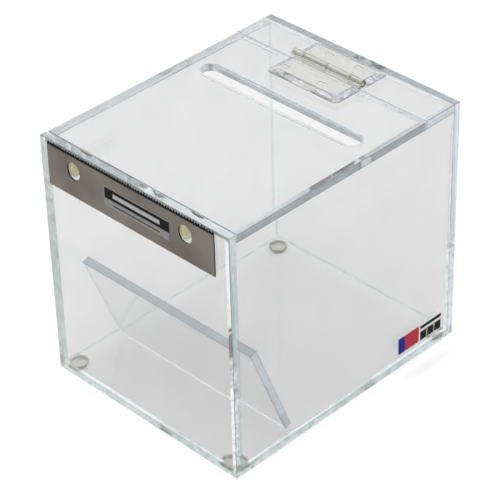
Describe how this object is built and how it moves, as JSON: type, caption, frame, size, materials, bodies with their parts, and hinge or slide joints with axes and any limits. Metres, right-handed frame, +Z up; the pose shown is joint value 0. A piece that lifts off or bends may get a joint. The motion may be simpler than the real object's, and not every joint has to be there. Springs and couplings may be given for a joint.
{
  "type": "donation box",
  "caption": "Clear acrylic tabletop box with a slotted, hinged lid, a sloping inner plate, a toothed steel blade on the front panel and bumper feet.",
  "frame": {"origin": "centre of the object's box in X and Y, on the surface the feet stand on", "axes": "+Z up, +Y towards the back panel with the hinge, +X to the right as seen from the front, where the blade is"},
  "size_m": [0.1658, 0.2058, 0.1917],
  "materials": {
    "clear_acrylic": "polished clear cast acrylic sheet, faint blue-green at the edges",
    "hinge_plastic": "clear moulded plastic with a faint yellow cast",
    "blade_steel": "fine-brushed warm grey spring steel, dark ground teeth",
    "pad_adhesive": "cream adhesive pad",
    "label_film": "printed film, black band over silver grey",
    "sticker_film": "printed film, plain colour blocks",
    "bumper": "clear soft polyurethane bumper"
  },
  "bodies": {
    "case": {"bottom_panel": "clear_acrylic", "front_panel": "clear_acrylic", "back_panel": "clear_acrylic", "left_wall": "clear_acrylic", "right_wall": "clear_acrylic", "rear_top_strip": "clear_acrylic", "sloping_plate": "clear_acrylic", "hinge_strip_leaf": "hinge_plastic", "hinge_pin": "hinge_plastic", "serrated_blade": "blade_steel", "blade_pad_left": "pad_adhesive", "blade_pad_right": "pad_adhesive", "blade_label": "label_film", "wall_sticker": "sticker_film", "foot_front_left": "bumper", "foot_front_right": "bumper", "foot_back_left": "bumper", "foot_back_right": "bumper"},
    "lid_assembly": {"lid": "clear_acrylic", "hinge_lid_leaf": "hinge_plastic"}
  },
  "joints": [
    {"name": "lid_hinge", "type": "hinge", "parent": "case", "child": "lid_assembly", "pos_m": [-0.0028, 0.0731, 0.1887], "axis": [-1, 0, 0], "range_deg": [0, 180]}
  ]
}
